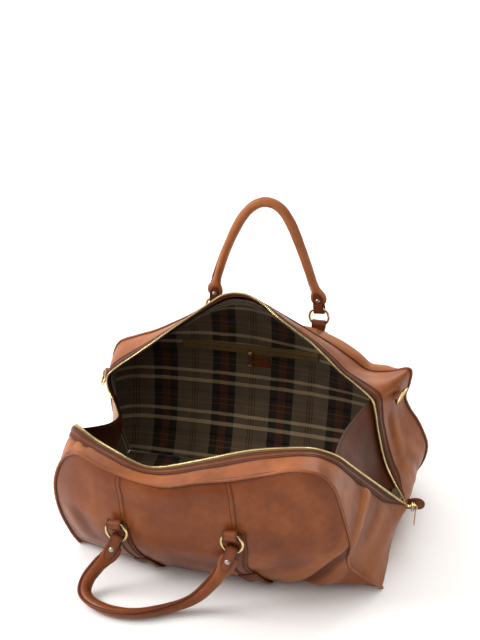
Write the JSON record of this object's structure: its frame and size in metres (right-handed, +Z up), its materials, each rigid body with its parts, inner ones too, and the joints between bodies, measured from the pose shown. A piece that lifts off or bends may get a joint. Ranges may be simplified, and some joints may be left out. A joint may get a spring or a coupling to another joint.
{
  "type": "weekender bag",
  "caption": "Soft leather weekender with an open zip mouth, checked lining, padded handles on rings and end D rings; it carries clothes by hand.",
  "frame": {"origin": "on the ground under the middle of the base", "axes": "+X along the bag to its right end, where the zip slider is, +Y to the back panel, +Z up"},
  "size_m": [0.574, 0.4807, 0.4981],
  "materials": {
    "tan_leather": "smooth aniline calf, semi-gloss",
    "trim_leather": "darker smooth leather, semi-gloss",
    "lining_cloth": "woven tartan lining, matte",
    "zip_cloth": "woven zip tape, matte",
    "rope": "twisted cotton rope",
    "board": "pressed stiffening board",
    "nickel": "satin nickel",
    "brass": "polished pale brass"
  },
  "bodies": {
    "shell": {"front_panel": "tan_leather", "back_panel": "tan_leather", "base_panel": "trim_leather", "front_gusset": "tan_leather", "back_gusset": "tan_leather", "front_zip_facing": "trim_leather", "back_zip_facing": "trim_leather", "front_zip_tape": "zip_cloth", "back_zip_tape": "zip_cloth", "front_zip_teeth": "brass", "back_zip_teeth": "brass", "front_piping": "trim_leather", "back_piping": "trim_leather", "front_lining": "lining_cloth", "back_lining": "lining_cloth", "base_lining": "lining_cloth", "front_gusset_lining": "lining_cloth", "back_gusset_lining": "lining_cloth", "base_board": "board", "right_inner_gusset": "trim_leather", "left_inner_gusset": "trim_leather", "pocket_zip_tape": "zip_cloth", "pocket_zip_teeth": "brass", "pocket_pouch": "lining_cloth", "pocket_patch": "trim_leather", "front_left_strap": "trim_leather", "front_right_strap": "trim_leather", "back_left_strap": "trim_leather", "back_right_strap": "trim_leather", "front_left_ring_tab": "trim_leather", "front_right_ring_tab": "trim_leather", "back_left_ring_tab": "trim_leather", "back_right_ring_tab": "trim_leather", "right_d_ring_tab": "trim_leather", "left_d_ring_tab": "trim_leather", "right_zip_end_tab": "trim_leather", "left_zip_end_tab": "trim_leather"},
    "front_left_ring": {"front_left_ring": "brass"},
    "front_right_ring": {"front_right_ring": "brass"},
    "back_left_ring": {"back_left_ring": "brass"},
    "back_right_ring": {"back_right_ring": "brass"},
    "front_handle": {"front_handle_cover": "tan_leather", "front_handle_core": "rope", "front_handle_rivets": "nickel", "front_handle_loops": "trim_leather"},
    "back_handle": {"back_handle_cover": "tan_leather", "back_handle_core": "rope", "back_handle_rivets": "nickel", "back_handle_loops": "trim_leather"},
    "right_d_ring": {"right_d_ring": "brass"},
    "left_d_ring": {"left_d_ring": "brass"},
    "zip_slider": {"zip_slider": "brass"},
    "zip_puller": {"zip_puller": "brass", "puller_leather": "trim_leather"},
    "pocket_slider": {"pocket_slider": "brass"},
    "pocket_puller": {"pocket_puller": "brass", "pocket_pull_leather": "trim_leather"}
  },
  "joints": [
    {"name": "front_left_ring_swing", "type": "hinge", "parent": "shell", "child": "front_left_ring", "pos_m": [-0.15526, -0.19787, 0.11789], "axis": [-0.9895, 0.0713, -0.1261], "range_deg": [0, 100]},
    {"name": "front_right_ring_swing", "type": "hinge", "parent": "shell", "child": "front_right_ring", "pos_m": [0.02524, -0.21087, 0.14089], "axis": [-0.9895, 0.0713, -0.1261], "range_deg": [0, 100]},
    {"name": "front_handle_swing", "type": "hinge", "parent": "front_left_ring", "child": "front_handle", "pos_m": [-0.15174, -0.19813, 0.09011], "axis": [-0.9895, 0.0713, -0.1261], "range_deg": [0, 35]},
    {"name": "back_left_ring_swing", "type": "hinge", "parent": "shell", "child": "back_left_ring", "pos_m": [-0.09069, 0.19698, 0.271], "axis": [-0.9985, 0.0494, -0.0219], "range_deg": [0, 80]},
    {"name": "back_right_ring_swing", "type": "hinge", "parent": "shell", "child": "back_right_ring", "pos_m": [0.09131, 0.18798, 0.275], "axis": [-0.9985, 0.0494, -0.0219], "range_deg": [0, 80]},
    {"name": "back_handle_swing", "type": "hinge", "parent": "back_left_ring", "child": "back_handle", "pos_m": [-0.09131, 0.19702, 0.299], "axis": [-0.9985, 0.0494, -0.0219], "range_deg": [-25, 90]},
    {"name": "right_d_ring_swing", "type": "hinge", "parent": "shell", "child": "right_d_ring", "pos_m": [0.2395, 0.0915, 0.209], "axis": [0.2079, 0.9781, 0], "range_deg": [-13, 120]},
    {"name": "left_d_ring_swing", "type": "hinge", "parent": "shell", "child": "left_d_ring", "pos_m": [-0.261, 0.088, 0.19], "axis": [0.2756, -0.9613, 0], "range_deg": [-120, 5]},
    {"name": "zip_slider_travel", "type": "slide", "parent": "shell", "child": "zip_slider", "axis": [-0.5501, 0, 0.8351], "range_m": [0, 0.008]},
    {"name": "zip_puller_swing", "type": "hinge", "parent": "zip_slider", "child": "zip_puller", "pos_m": [0.2842, 0, 0.063], "axis": [0, -1, 0], "range_deg": [0, 150]},
    {"name": "pocket_slider_travel", "type": "slide", "parent": "shell", "child": "pocket_slider", "axis": [1, 0, 0], "range_m": [-0.02, 0.03]},
    {"name": "pocket_puller_swing", "type": "hinge", "parent": "pocket_slider", "child": "pocket_puller", "pos_m": [-0.02675, 0.17913, 0.20496], "axis": [-1, 0, 0], "range_deg": [0, 120]}
  ],
  "couplings": [
    {"joint": "front_right_ring_swing", "follows": "front_left_ring_swing", "ratio": 1},
    {"joint": "back_right_ring_swing", "follows": "back_left_ring_swing", "ratio": 1}
  ]
}
